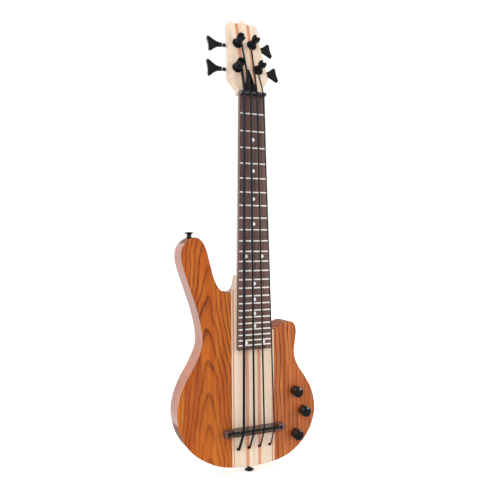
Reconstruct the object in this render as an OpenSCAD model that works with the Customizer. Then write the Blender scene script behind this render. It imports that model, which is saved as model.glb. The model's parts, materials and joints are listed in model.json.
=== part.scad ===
// Small solid-body four-string electric bass with neck-through-body construction.
// Frame: origin at the middle of the body's tail end, where the tail strap button seats.
// +X points to the treble side, +Y to the back, +Z along the neck to the headstock.

/* [Body] */
// Thickness of the body
body_t = 38; // [36:0.5:40]
// Half width of the laminated core between the wings
core_half_w = 37; // [36:0.5:38]
// Half width of the centre maple lamination
centre_half_w = 7.5; // [6:0.5:8]
// Outer face of the mahogany stripes
stripe_out = 13; // [12:0.5:15]
// Outer face of the outer maple laminations
outer_maple_out = 32.5; // [31:0.5:33]
// Outer face of the mahogany veneers
mahogany_out = 35; // [34:0.5:35.5]

/* [Neck] */
// Vibrating length, from nut to saddle
scale_l = 533; // [530:1:536]
// Height of the saddle line above the tail
saddle_z = 62; // [61:0.5:63]
// Number of frets
fret_n = 24; // [22:1:24]
// Half width of the fingerboard at the nut
board_half_nut = 21.5; // [20:0.5:22]
// Half width of the fingerboard at its body end
board_half_end = 28.5; // [27:0.5:30]
// Thickness of the fingerboard
board_t = 7.5; // [6.5:0.5:8]
// Depth of the neck wood behind the fingerboard at the nut
neck_depth_nut = 13; // [12.5:0.5:14.5]
// Depth of the neck wood behind the fingerboard at the heel
neck_depth_heel = 17; // [15:0.5:19]

/* [Headstock] */
// Backward tilt of the headstock
head_tilt = 15; // [13:0.5:16]
// Thickness of the headstock
head_t = 12.5; // [12:0.5:14]
// Sideways place of the lower and upper string posts
post_out = [18.5, 13, 13, 18.5];
// Place of each string post along the headstock
post_up = [44, 90.5, 90.5, 44];

/* [Strings] */
// Radius of each string, from E to G
string_r = [2.1, 1.6, 1.3, 1.05];
// Distance between strings at the tail holes
hole_pitch = 18.4; // [17.8:0.1:18.4]
// Distance between strings at the saddle
saddle_pitch = 17.6; // [17.2:0.1:17.9]
// Distance between strings at the nut
nut_pitch = 11.1; // [10.8:0.1:11.3]
// Height of the string centres above the body front at the saddle
saddle_h = 18.7; // [18:0.1:19.5]
// Height of the string centres above the neck wood at the nut
nut_h = 12.7; // [12.4:0.1:13.2]

/* [Controls] */
// Centre of each knob, sideways and along the body
knob_at = [[75.5, 113], [90, 79.5], [75.5, 43]];
// Radius of a knob
knob_r = 8.75; // [8:0.25:9.5]
// Height of a knob
knob_h = 14.5; // [13:0.5:16]
// Thickness of wood left over the control cavity
cavity_roof = 6; // [5.5:0.25:6.5]
// Radius of the plug hole in the output jack
jack_bore_r = 3.25; // [3.2:0.05:3.3]
// Length of the plug hole in the output jack
jack_bore_l = 27; // [26:0.5:28]

/* [Tuning machines] */
// Teeth on each post gear
gear_teeth = 20; // [20:1:20]
// Distance from the post axis up to the worm axis
worm_up = 8; // [7.95:0.05:8.1]
// Depth of the worm axis behind the headstock face
worm_depth = 20; // [20:0.5:20.5]
// Distance of the button's outer end from the instrument's centre plane, lower and upper pair
button_end = [63, 57.5, 57.5, 63];

/* [Hidden] */
$fn = 48;

front = -body_t / 2;
back = body_t / 2;
nut_z = saddle_z + scale_l;
nut_w = 6;
head_z = nut_z + nut_w;
board_top = front - board_t;
board_end_z = 188;
heel_z = 250;

// Colours
maple_c = [0.91, 0.83, 0.72];
mahogany_c = [0.78, 0.53, 0.41];
ash_c = [0.76, 0.41, 0.13];
rosewood_c = [0.38, 0.25, 0.21];
black_c = [0.07, 0.07, 0.08];
steel_c = [0.75, 0.74, 0.7];
string_c = [0.1, 0.12, 0.15];

// ---- Curves and outlines ----

// Point of a Catmull-Rom curve between b and c
function between(a, b, c, d, t) =
    0.5 * (2 * b + (c - a) * t + (2 * a - 5 * b + 4 * c - d) * t * t + (3 * b - a - 3 * c + d) * t * t * t);

// Smooth open curve through the points p, with n steps between two of them
function smooth(p, n = 4) = concat([for (i = [0:len(p) - 2], k = [0:n - 1])
    between(p[max(i - 1, 0)], p[i], p[i + 1], p[min(i + 2, len(p) - 1)], k / n)], [p[len(p) - 1]]);

// Closed outline with each corner cut back by r and rounded
function soften(p, r, n = 5) = [for (i = [0:len(p) - 1], k = [0:n])
    let(b = p[i], a = p[(i + len(p) - 1) % len(p)], c = p[(i + 1) % len(p)],
        s = b + (a - b) * min(r / norm(a - b), 0.5), e = b + (c - b) * min(r / norm(c - b), 0.5), t = k / n)
    s * (1 - t) * (1 - t) + 2 * b * t * (1 - t) + e * t * t];

// Bass side of the body, from the tail round the lower bout, waist and long horn to the neck
bass_side = [[-6, 0], [-14, 0.1], [-30, 2], [-61, 9], [-90, 24.5], [-110, 43.5], [-122, 67], [-127, 94],
    [-123, 120], [-112, 146], [-97, 171], [-86.5, 196], [-86.5, 220], [-94, 254], [-106, 290],
    [-117.5, 326], [-118.5, 344], [-113, 357], [-100, 366.5], [-88, 363.5], [-79, 350], [-72.5, 327],
    [-65, 300], [-55, 284], [-44, 278.5], [-38, 279.3], [-33, 283], [-30, 290], [-28, 299], [-27, 306]];

// Treble side, from the neck round the short horn, waist and lower bout to the tail
treble_side = [[27, 306], [27.6, 240], [28.6, 226], [34.7, 217], [43, 218.5], [52, 225], [63, 228],
    [73.5, 225.5], [78.5, 214], [77, 196], [74.5, 176], [80.5, 156], [94.5, 135], [107, 112],
    [112.5, 84], [109, 62], [100, 43], [85, 25.5], [61, 9.8], [30, 1.8], [14, 0.1], [6, 0]];

body_points = concat(smooth(bass_side), [treble_side[0]],
    smooth([for (i = [1:len(treble_side) - 1]) treble_side[i]]));

// Half of the headstock outline, from the nut up to the crest
head_half = concat(
    smooth([[board_half_nut, 0], [21.8, 6], [25.5, 12.8], [29.9, 20], [34.4, 28], [34.2, 38], [31, 64], [28.5, 90],
        [26.5, 127.5]]),
    smooth([[22.7, 132], [17, 130], [11, 129.6], [5.5, 132], [0, 136.5]]));
head_points = concat(head_half, [for (i = [len(head_half) - 2:-1:0]) [-head_half[i].x, head_half[i].y]]);

cavity_points = soften([[58, 32], [80, 32], [101, 60], [102, 95], [92, 124], [58, 124]], 9);
cover_points = soften([[54, 28], [82, 28], [105, 58.5], [106, 96], [94.5, 128], [54, 128]], 10);
cover_t = 2;

// ---- Placing ----

// Extrudes an outline drawn in X and Z from the depth y0 back to y1
module slab(y0, y1) {
    translate([0, y1, 0])
        rotate([90, 0, 0])
            linear_extrude(y1 - y0) children();
}

// Extrudes an outline drawn in Y and Z from x0 to x1
module across(x0, x1) {
    translate([x0, 0, 0])
        rotate([90, 0, 90])
            linear_extrude(x1 - x0) children();
}

// Round bar along Y from the depth y0 back to y1
module round_y(x, z, r, y0, y1) {
    translate([x, y1, z])
        rotate([90, 0, 0])
            cylinder(r = r, h = y1 - y0);
}

// Frame of the headstock face: X across, Y up along it, Z out of the front
module on_head() {
    translate([0, front, head_z])
        rotate([90 - head_tilt, 0, 0])
            children();
}

// Frame of tuning machine i: +X points out to its button
module at_tuner(i) {
    on_head()
        translate([tuner_side(i) * post_out[i], post_up[i], 0])
            mirror([i < 2 ? 1 : 0, 0, 0])
                children();
}

// The same point in the instrument's frame
function head_point(x, s, h) = [x, front + s * sin(head_tilt) - h * cos(head_tilt),
    head_z + s * cos(head_tilt) + h * sin(head_tilt)];
function tuner_side(i) = i < 2 ? -1 : 1;

// Frame of the output jack: origin at its seat on the edge of the body, Z out of its mouth
jack_seat = [96.1, 4, 39.9];
jack_angle = 37;
module at_jack() {
    translate(jack_seat)
        rotate([0, 90 + jack_angle, 0])
            children();
}

// Round tube swept along the points p, its ring carried from point to point without twist
function unit(v) = v / norm(v);
function heading(p, i) = unit(p[min(i + 1, len(p) - 1)] - p[max(i - 1, 0)]);
function carry(p, i, n) = i == len(p) ? []
    : let(t = heading(p, i), m = unit(n - (n * t) * t)) concat([m], carry(p, i + 1, m));

module tube(p, r, sides = 10) {
    side_way = carry(p, 0, [1, 0.13, 0.21]);
    last = len(p) - 1;
    polyhedron(
        points = [for (i = [0:last], k = [0:sides - 1]) let(a = 360 * k / sides, t = heading(p, i))
            p[i] + r * (cos(a) * side_way[i] + sin(a) * cross(t, side_way[i]))],
        faces = concat([[for (k = [0:sides - 1]) k], [for (k = [sides - 1:-1:0]) last * sides + k]],
            [for (i = [0:last - 1], k = [0:sides - 1]) let(j = (k + 1) % sides)
                [i * sides + k, (i + 1) * sides + k, (i + 1) * sides + j, i * sides + j]]));
}

// The route p with each bend rounded over the distance d
function eased(p, d, n = 4) = concat([p[0]], [for (i = [1:len(p) - 2], k = [0:n])
    let(s = p[i] + unit(p[i - 1] - p[i]) * d, e = p[i] + unit(p[i + 1] - p[i]) * d, t = k / n)
    s * (1 - t) * (1 - t) + 2 * p[i] * t * (1 - t) + e * t * t], [p[len(p) - 1]]);

// Wood screw with a cross slot, standing in its hole with its head's top at z = 0
module wood_screw(head_r, head_h, shank_r, l) {
    difference() {
        union() {
            translate([0, 0, -head_h]) cylinder(r = head_r, h = head_h);
            translate([0, 0, -l]) cylinder(r = shank_r, h = l - head_h);
        }
        for (a = [0, 90]) rotate(a)
            translate([-head_r * 0.6, -head_r * 0.14, -head_h * 0.6])
                cube([head_r * 1.2, head_r * 0.28, head_h]);
    }
}

// ---- Neck-through core ----

heel_start = 262;
heel_l = 28;
heel_steps = 12;
neck_back = front + neck_depth_heel;

module core_block() {
    difference() {
        intersection() {
            slab(front, back) polygon(body_points);
            translate([-core_half_w, front - 1, -1]) cube([2 * core_half_w, body_t + 2, 400]);
        }
        across(-60, 60)
            polygon(concat(
                [for (k = [0:heel_steps]) let(t = k / heel_steps)
                    [back + 0.2 - (back + 0.7 - neck_back) * t * t * (3 - 2 * t), heel_start + heel_l * t]],
                [[neck_back - 0.5, 320], [back + 5, 320], [back + 5, heel_start]]));
    }
}

// Width of the fingerboard and neck, as a half width at the height z
function board_half(z) = board_half_nut
    + (board_half_end - board_half_nut) * (nut_z - z) / (nut_z - board_end_z);

neck_section_steps = 22;
neck_section = [for (k = [0:neck_section_steps]) let(a = 180 * k / neck_section_steps, c = cos(a))
    [board_half(heel_z) * sign(c) * pow(abs(c), 0.86), neck_depth_heel * pow(sin(a), 0.86)]];

module neck_shaft() {
    translate([0, front, heel_z])
        linear_extrude(head_z - heel_z, slices = 1, segments = len(neck_section),
            scale = [board_half(head_z) / board_half(heel_z), neck_depth_nut / neck_depth_heel])
            polygon(neck_section);
}

module head_block() {
    on_head()
        translate([0, 0, -head_t])
            linear_extrude(head_t) polygon(head_points);
}

bushing_r = 4.95;
pilot_r = 1.2;
ear_up = -12;
strap_pilot_r = 1.8;
strap_pilot_l = 24;
truss_x = 3.1;
truss_y = -12;
truss_channel_y = -8.1;

module core_cuts() {
    for (i = [0:3]) {
        round_y(hole_x(i), string_hole_z, string_hole_r, front - 1, ferrule_y + 1);
        round_y(hole_x(i), string_hole_z, ferrule_r, ferrule_y, back + 1);
        at_tuner(i) {
            translate([0, 0, -head_t - 1]) cylinder(r = bushing_r, h = head_t + 2);
            translate([0, ear_up, -head_t - 1]) cylinder(r = pilot_r, h = 9);
        }
    }
    translate([-truss_x, front - 1, 200])
        cube([2 * truss_x, truss_channel_y - front + 1, nut_z - 200]);
    translate([-truss_x - 1, front - 1, nut_z])
        cube([2 * truss_x + 2, truss_channel_y - front + 1, 34]);
    for (p = truss_screw_at) on_head() translate([p.x, p.y, -7]) cylinder(r = 1, h = 8);
    cylinder(r = strap_pilot_r, h = strap_pilot_l);
}

// The part of the neck-through core between the planes x0 and x1
module lamination(x0, x1) {
    difference() {
        intersection() {
            union() {
                core_block();
                neck_shaft();
                head_block();
            }
            translate([x0, -50, -1]) cube([x1 - x0, 100, 800]);
        }
        core_cuts();
    }
}

// The outer laminations also fill the full width of the headstock
module outer_lamination(side) {
    difference() {
        intersection() {
            union() {
                core_block();
                neck_shaft();
                head_block();
            }
            union() {
                translate([side > 0 ? stripe_out : -outer_maple_out, -50, -1])
                    cube([outer_maple_out - stripe_out, 100, 800]);
                translate([side > 0 ? outer_maple_out - 1 : -40, -50, 500])
                    cube([40 - outer_maple_out + 1, 100, 300]);
            }
        }
        core_cuts();
    }
}

module neck_core_centre() {
    color(maple_c) lamination(-centre_half_w, centre_half_w);
}

module neck_stripes() {
    color(mahogany_c) {
        lamination(-stripe_out, -centre_half_w);
        lamination(centre_half_w, stripe_out);
    }
}

module neck_core_bass() {
    color(maple_c) outer_lamination(-1);
}

module neck_core_treble() {
    color(maple_c) outer_lamination(1);
}

module veneers(x0, x1) {
    for (side = [-1, 1])
        intersection() {
            core_block();
            translate([side > 0 ? x0 : -x1, -50, -1]) cube([x1 - x0, 100, 400]);
        }
}

module mahogany_veneers() {
    color(mahogany_c) veneers(outer_maple_out, mahogany_out);
}

module maple_veneers() {
    color(maple_c) veneers(mahogany_out, core_half_w);
}

// ---- Wings ----

horn_x = -100;
horn_seat_z = 366;
bridge_screw_x = 44.5;
bridge_screw_r = 1.5;
bridge_screw_head_h = 2.4;
bridge_screw_l = 19.5;
bridge_pilot_l = 11;
lead_x = 41.5;
lead_start_x = 37.5;
lead_z = 60;
lead_y = -6;
lead_hole_r = 1.5;
cover_screw_at = [[62, 30], [62, 126], [80, 31.9], [91.7, 123.8], [103.5, 77.5]];
cover_pilot_r = 1;

module bass_wing() {
    color(ash_c)
        difference() {
            intersection() {
                slab(front, back) polygon(body_points);
                translate([-140, front - 1, -1]) cube([140 - core_half_w, body_t + 2, 400]);
            }
            translate([horn_x, 0, horn_seat_z]) cylinder(r = 5.3, h = 3);
            translate([horn_x, 0, horn_seat_z - strap_pilot_l]) cylinder(r = strap_pilot_r, h = strap_pilot_l);
            round_y(-bridge_screw_x, bridge_z, bridge_screw_r, front - 1, front + bridge_pilot_l);
        }
}

module treble_wing() {
    color(ash_c)
        difference() {
            intersection() {
                slab(front, back) polygon(body_points);
                translate([core_half_w, front - 1, -1]) cube([100, body_t + 2, 400]);
            }
            slab(front + cavity_roof, back + 1) polygon(cavity_points);
            slab(back - cover_t, back + 1) polygon(cover_points);
            for (p = knob_at) round_y(p.x, p.y, pot_neck_r + 0.1, front - 1, front + cavity_roof + 1);
            for (p = cover_screw_at) round_y(p.x, p.y, cover_pilot_r, back - 11, back);
            round_y(bridge_screw_x, bridge_z, bridge_screw_r, front - 1, front + bridge_pilot_l);
            round_y(lead_x, lead_z, lead_hole_r, front - 1, lead_y + lead_hole_r);
            translate([lead_x, lead_y, lead_z]) rotate([0, 90, 0]) cylinder(r = lead_hole_r, h = 20);
            at_jack() {
                cylinder(r = 9, h = 6);
                translate([0, 0, -22]) cylinder(r = jack_r + 0.1, h = 23);
            }
        }
}

// ---- Fingerboard ----

function fret_z(n) = nut_z - scale_l * (1 - pow(2, -n / 12));
tang_w = 0.6;
tang_h = 2;
crown_w = 2.4;
crown_h = 1.1;
dot_r = 3;
dot_t = 1.5;
single_dots = [3, 5, 7, 9, 15, 17, 19, 21];
function dot_z(n) = (fret_z(n - 1) + fret_z(n)) / 2;
dot_at = concat([for (n = single_dots) [0, dot_z(n)]],
    [for (x = [-14, 14]) [x, dot_z(12)]], [for (x = [-15, 15]) [x, dot_z(24)]]);

module fingerboard() {
    color(rosewood_c)
        difference() {
            slab(board_top, front)
                polygon([[-board_half_end, board_end_z], [board_half_end, board_end_z],
                    [board_half_nut, nut_z], [-board_half_nut, nut_z]]);
            for (n = [1:fret_n])
                translate([-40, board_top - 1, fret_z(n) - tang_w / 2]) cube([80, tang_h + 1, tang_w]);
            for (p = dot_at) round_y(p.x, p.y, dot_r, board_top - 1, board_top + dot_t);
        }
}

// Bent wire with a round crown and a tang, drawn in Y and Z
module fret_section() {
    polygon(concat(
        [for (k = [0:10]) let(a = 180 * k / 10) [-crown_h * sin(a), crown_w / 2 * cos(a)]],
        [[0, -tang_w / 2], [tang_h, -tang_w / 2], [tang_h, tang_w / 2], [0, tang_w / 2]]));
}

module frets() {
    color(steel_c)
        for (n = [1:fret_n])
            translate([0, board_top, fret_z(n)])
                across(0.3 - board_half(fret_z(n)), board_half(fret_z(n)) - 0.3) fret_section();
}

module position_dots() {
    color([0.93, 0.93, 0.9])
        for (p = dot_at) round_y(p.x, p.y, dot_r, board_top, board_top + dot_t);
}

// ---- Strings ----

string_hole_z = 31;
ferrule_r = 4.2;
ferrule_bore_r = 3.4;
ball_r = 3.2;
ball_l = 4.5;
string_hole_r = 2.7;
hole_offset = 0.6;
saddle_offset = 1.4;
nut_offset = 0.3;
ferrule_y = 11;
string_end_y = 12.5;
bend_y = -22.5;
string_bend = 2.5;
wrap_gap = 0.3;
post_r = 3;
wrap_base = 4.6;
wrap_turns = [2, 3, 3, 4];

function hole_x(i) = hole_offset + (i - 1.5) * hole_pitch;
function saddle_x(i) = saddle_offset + (i - 1.5) * saddle_pitch;
function nut_x(i) = nut_offset + (i - 1.5) * nut_pitch;
function saddle_point(i) = [saddle_x(i), front - saddle_h, saddle_z];
function nut_point(i) = [nut_x(i), front - nut_h, nut_z + nut_w / 2];

// Where the string touches the first turn on its post, on the side next to the centre
function touch_point(i) = head_point(tuner_side(i) * (post_out[i] - post_r - string_r[i]), post_up[i],
    wrap_base + string_r[i]);

// The string stops short of the turning winding, so that the two never overlap
function free_end(i) = let(r = string_r[i], d = touch_point(i) - nut_point(i),
        gap = sqrt(pow(post_r + 2 * r + wrap_gap, 2) - post_r * post_r))
    touch_point(i) - d / norm(d) * gap;

function string_route(i) = [[hole_x(i), string_end_y, string_hole_z], [hole_x(i), bend_y, string_hole_z],
    saddle_point(i), nut_point(i), free_end(i)];

// The string along its route, made thicker by extra
module string_body(i, extra = 0) {
    tube(eased(string_route(i), string_bend), string_r[i] + extra, 12);
}

module one_string(i) {
    color(string_c) {
        string_body(i);
        round_y(hole_x(i), string_hole_z, ball_r, string_end_y, string_end_y + ball_l);
    }
}

// Turns of the string on its post
module one_winding(i) {
    r = string_r[i];
    color(string_c)
        at_tuner(i)
            rotate_extrude()
                difference() {
                    for (k = [0:wrap_turns[i] - 1])
                        translate([post_r + r, wrap_base + r + 1.98 * r * k]) circle(r = r, $fn = 24);
                    translate([0, -1]) square([post_r, 30]);
                }
}

module string_e() { one_string(0); }
module string_a() { one_string(1); }
module string_d() { one_string(2); }
module string_g() { one_string(3); }
module wraps_e() { one_winding(0); }
module wraps_a() { one_winding(1); }
module wraps_d() { one_winding(2); }
module wraps_g() { one_winding(3); }

module string_ferrules() {
    color(black_c)
        for (i = [0:3])
            difference() {
                round_y(hole_x(i), string_hole_z, ferrule_r, ferrule_y, back);
                round_y(hole_x(i), string_hole_z, string_hole_r, ferrule_y - 1, back);
                round_y(hole_x(i), string_hole_z, ferrule_bore_r, string_end_y, back + 1);
            }
}

// ---- Nut and bridge ----

bridge_z = 58.5;
bridge_w = 13;
bridge_half_l = 53.5;
bridge_h = 9;
saddle_half_l = 40;
saddle_seat_h = 4.5;
string_clear = 0.1;
screw_sink = 0.4;

module string_grooves() {
    for (i = [0:3]) string_body(i, string_clear);
}

nut_hump_r = 2.9;
nut_edge_hump_r = 1.7;
nut_hump_y = front - nut_h + 1.2;

// Rounded humps stand between the strings and outside the outer two
module nut() {
    color(black_c)
        difference() {
            union() {
                across(-board_half_nut - 0.5, board_half_nut + 0.5)
                    polygon(soften([[front, nut_z], [front, head_z], [front - 11, head_z],
                        [front - nut_h - 0.2, nut_z + 3.4], [front - nut_h - 0.2, nut_z]], 1.2, 3));
                for (i = [0:2])
                    translate([nut_x(i) + nut_pitch / 2, nut_hump_y, nut_z + 0.4]) cylinder(r = nut_hump_r, h = 4);
                for (side = [-1, 1])
                    translate([side * (board_half_nut + 0.3 - nut_edge_hump_r), nut_hump_y - 0.4, nut_z + 0.4])
                        cylinder(r = nut_edge_hump_r, h = 4);
            }
            string_grooves();
        }
}

module bridge_base() {
    color(rosewood_c)
        difference() {
            intersection() {
                across(-bridge_half_l, bridge_half_l)
                    polygon(soften([[front, bridge_z - bridge_w / 2], [front, bridge_z + bridge_w / 2],
                        [front - bridge_h, bridge_z + bridge_w / 2 - 0.8],
                        [front - bridge_h, bridge_z - bridge_w / 2 + 0.8]], 1.4, 3));
                slab(front - bridge_h - 1, front)
                    polygon(soften([[-bridge_half_l, bridge_z], [-bridge_half_l + 5, bridge_z - bridge_w / 2 - 1],
                        [bridge_half_l - 5, bridge_z - bridge_w / 2 - 1], [bridge_half_l, bridge_z],
                        [bridge_half_l - 5, bridge_z + bridge_w / 2 + 1],
                        [-bridge_half_l + 5, bridge_z + bridge_w / 2 + 1]], 2, 3));
            }
            translate([-saddle_half_l, front - bridge_h - 1, saddle_z - 4.5])
                cube([2 * saddle_half_l, bridge_h - saddle_seat_h + 1, 7]);
            for (side = [-1, 1]) {
                round_y(side * bridge_screw_x, bridge_z, 1.8, front - 20, front + 1);
                round_y(side * bridge_screw_x, bridge_z, 3.1, front - bridge_h - 1,
                    front - bridge_h + screw_sink + bridge_screw_head_h);
            }
            translate([lead_start_x - 1, front - saddle_seat_h - 0.1, lead_z - lead_hole_r])
                cube([lead_x + lead_hole_r - lead_start_x + 1, saddle_seat_h + 1, 2 * lead_hole_r]);
        }
}

piezo_t = 1.2;
module bridge_saddle() {
    color(black_c)
        difference() {
            across(-saddle_half_l, saddle_half_l)
                polygon(concat([[front - saddle_seat_h - piezo_t, saddle_z - 4.5],
                        [front - saddle_seat_h - piezo_t, saddle_z + 2.5], [front - 14, saddle_z + 2.5]],
                    [for (k = [0:6]) let(a = 90 - 90 * k / 6)
                        [front - 16.5 - 2.2 * cos(a), saddle_z + 2.5 * sin(a)]],
                    [[front - 12, saddle_z - 4.5]]));
            string_grooves();
        }
}

module bridge_screws() {
    color(black_c)
        for (side = [-1, 1])
            translate([side * bridge_screw_x, front - bridge_h + screw_sink, bridge_z])
                rotate([90, 0, 0]) wood_screw(3, bridge_screw_head_h, bridge_screw_r, bridge_screw_l);
}

module piezo_pickup() {
    color([0.8, 0.6, 0.3])
        translate([-saddle_half_l + 1, front - saddle_seat_h - piezo_t, saddle_z - 3])
            cube([2 * saddle_half_l - 2, piezo_t, 4]);
}

// ---- Truss rod ----

truss_nut_l = 12;
truss_r = 2.5;
truss_nut_r = 3.4;
truss_screw_at = [[0, 38], [-8, 6], [8, 6]];
cover_plate_t = 2.4;

truss_end_z = 202;
truss_thread_l = 6;

module truss_rod() {
    color(steel_c) {
        translate([0, truss_y, truss_end_z + 3]) cylinder(r = truss_r, h = head_z + truss_thread_l - truss_end_z - 3);
        translate([-3, truss_y - 3, truss_end_z]) cube([6, 6, 10]);
    }
}

module truss_rod_nut() {
    color(black_c)
        translate([0, truss_y, head_z + 0.4])
            difference() {
                cylinder(r = truss_nut_r, h = truss_nut_l);
                translate([0, 0, -1]) cylinder(r = truss_r + running_fit, h = truss_thread_l + 1);
                translate([0, 0, truss_thread_l + 1]) cylinder(r = 2.3, h = truss_nut_l, $fn = 6);
            }
}

module truss_rod_cover() {
    color(black_c)
        on_head()
            difference() {
                linear_extrude(cover_plate_t)
                    polygon(soften([[-12, 2], [12, 2], [11, 9], [6.2, 21], [4.2, 33], [0, 44],
                        [-4.2, 33], [-6.2, 21], [-11, 9]], 2.5));
                for (p = truss_screw_at) translate([p.x, p.y, -1]) cylinder(r = 1.2, h = 5);
            }
}

module truss_cover_screws() {
    color(steel_c)
        for (p = truss_screw_at)
            on_head() translate([p.x, p.y, cover_plate_t + 1.1]) wood_screw(1.9, 1.1, 1, 9);
}

// ---- Tuning machines ----

gear_tip_r = 6;
gear_root_r = 4.95;
gear_w = 3.4;
worm_tip_r = 2.6;
worm_root_r = 1.65;
worm_pitch = 1.8;
worm_turns = 6;
worm_steps = 9;
shaft_r = 1.75;
running_fit = 0.05;
housing_back = worm_depth + 4.5;
tube_r = 3;
button_l = 24.5;
button_t = 4.4;
collar_l = 2;
head_r = 6.8;
head_h = 4.5;
head_cone_h = 1.6;
post_top = 21;

// Distance of tuner i's button, at its inner end, from its post axis
function button_start(i) = button_end[i] - button_l - post_out[i];

module post_gear() {
    linear_extrude(gear_w, center = true)
        difference() {
            polygon([for (k = [0:gear_teeth - 1], c = [[-4.8, gear_root_r], [-2.2, gear_tip_r],
                    [2.2, gear_tip_r], [4.8, gear_root_r]])
                let(a = 90 + 360 * (k + 0.5) / gear_teeth + c[0]) c[1] * [cos(a), sin(a)]]);
            circle(r = post_r - 0.5);
        }
}

// Slotted post: gear at the back, barrel for the winding and a split head in front
module one_post(i, slot_angle) {
    color(black_c)
        at_tuner(i)
            difference() {
                union() {
                    translate([0, 0, -worm_depth]) post_gear();
                    translate([0, 0, -worm_depth - gear_w / 2])
                        cylinder(r = post_r, h = worm_depth + gear_w / 2 + post_top - head_h - head_cone_h + 0.1);
                    translate([0, 0, post_top - head_h - head_cone_h])
                        cylinder(r1 = post_r, r2 = head_r, h = head_cone_h);
                    translate([0, 0, post_top - head_h]) cylinder(r = head_r, h = head_h - 0.8);
                    translate([0, 0, post_top - 0.8]) cylinder(r1 = head_r, r2 = head_r - 0.8, h = 0.8);
                }
                rotate(slot_angle) translate([-head_r - 1, -2, post_top - head_h + 0.1]) cube([2 * head_r + 2, 4, 6]);
                translate([0, 0, 8]) cylinder(r = 1.6, h = 14);
            }
}

// Cross section of the worm: its one thread points to the gear
worm_section = [for (k = [0:9]) let(a = 36 * k, off = min(a, 360 - a))
    (off < 40 ? worm_tip_r : off < 80 ? (worm_tip_r + worm_root_r) / 2 : worm_root_r)
        * [cos(a - 90), sin(a - 90)]];

// Worm on its shaft, with the bright collar next to the button
module one_worm(i) {
    start = button_start(i);
    color(steel_c)
        at_tuner(i)
            translate([0, worm_up, -worm_depth])
                rotate([0, 90, 0]) {
                    linear_extrude(worm_turns * worm_pitch, center = true, twist = -360 * worm_turns,
                        slices = worm_turns * worm_steps, segments = len(worm_section))
                        polygon(worm_section);
                    translate([0, 0, -8]) cylinder(r = 1.5, h = 16);
                    translate([0, 0, 7]) cylinder(r = shaft_r, h = start - 7 + 8);
                    translate([0, 0, start - collar_l]) cylinder(r = tube_r, h = collar_l);
                }
}

// One edge of a button, from its narrow root along the flare and round the corner to the middle of its end
button_edge = smooth([[0, 3], [4, 3.3], [9, 5], [14, 8.6], [18.5, 12.6], [21.6, 14.6], [24, 13.8],
    [button_l, 11], [23.8, 5.5], [23.6, 0]], 3);
button_points = concat(button_edge,
    [for (i = [len(button_edge) - 2:-1:0]) [button_edge[i].x, -button_edge[i].y]]);

// Fluke-shaped button, flat across its shaft, turned by roll about the shaft at rest
module one_button(i, roll) {
    color(black_c)
        at_tuner(i)
            translate([button_start(i), worm_up, -worm_depth])
                rotate([roll, 0, 0])
                    difference() {
                        union() {
                            translate([0, 0, -button_t / 2]) linear_extrude(button_t) polygon(button_points);
                            rotate([0, 90, 0]) cylinder(r = tube_r, h = 5);
                        }
                        translate([-1, 0, 0]) rotate([0, 90, 0]) cylinder(r = shaft_r, h = 9);
                    }
}

module tuner_housings() {
    color(black_c)
        for (i = [0:3]) at_tuner(i) {
            tube_end = button_start(i) - collar_l - 0.3;
            difference() {
                union() {
                    translate([0, 0, -housing_back]) cylinder(r = 8.6, h = housing_back - head_t);
                    translate([-9, worm_up - 4, -housing_back])
                        linear_extrude(housing_back - head_t)
                            polygon(soften([[0, 0], [18, 0], [18, 8.6], [0, 8.6]], 2.5, 3));
                    translate([0, worm_up, -worm_depth]) rotate([0, 90, 0]) cylinder(r = tube_r, h = tube_end);
                    translate([-4, ear_up, -head_t - 2]) cube([8, 6, 2]);
                    translate([0, ear_up, -head_t - 2]) cylinder(r = 4, h = 2);
                }
                translate([0, 0, -worm_depth - gear_w / 2 - 0.4]) cylinder(r = gear_tip_r + 0.5, h = gear_w + 0.8);
                translate([-8.3, worm_up, -worm_depth]) rotate([0, 90, 0]) cylinder(r = worm_tip_r + 0.4, h = 15.2);
                translate([0, worm_up, -worm_depth]) rotate([0, 90, 0])
                    cylinder(r = shaft_r + running_fit, h = tube_end + 1);
                translate([0, 0, -worm_depth]) cylinder(r = post_r + running_fit, h = 10);
                translate([0, ear_up, -head_t - 3]) cylinder(r = pilot_r + 0.1, h = 4);
            }
        }
}

module tuner_bushings() {
    color(black_c)
        for (i = [0:3]) at_tuner(i)
            difference() {
                union() {
                    translate([0, 0, -head_t + 0.5]) cylinder(r = bushing_r, h = head_t);
                    cylinder(r = 8.7, h = 1.4);
                    translate([0, 0, 1.4]) cylinder(r = 7.2, h = 2.6, $fn = 6);
                }
                translate([0, 0, -head_t]) cylinder(r = post_r + running_fit, h = head_t + 5);
            }
}

module tuner_screws() {
    color(black_c)
        for (i = [0:3]) at_tuner(i)
            translate([0, ear_up, -head_t - 3.2]) mirror([0, 0, 1]) wood_screw(2.4, 1.2, pilot_r, 8);
}

module tuner_post_e() { one_post(0, 20); }
module tuner_post_a() { one_post(1, -15); }
module tuner_post_d() { one_post(2, 55); }
module tuner_post_g() { one_post(3, 55); }
module tuner_worm_e() { one_worm(0); }
module tuner_worm_a() { one_worm(1); }
module tuner_worm_d() { one_worm(2); }
module tuner_worm_g() { one_worm(3); }
module tuner_button_e() { one_button(0, 0); }
module tuner_button_a() { one_button(1, -10); }
module tuner_button_d() { one_button(2, -12); }
module tuner_button_g() { one_button(3, -12); }

// ---- Controls ----

pot_neck_r = 3.5;
pot_r = 8;
pot_shaft_r = 3;
cavity_y = front + cavity_roof;
knob_foot = front - 1;
knob_bore_h = 11;

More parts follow.
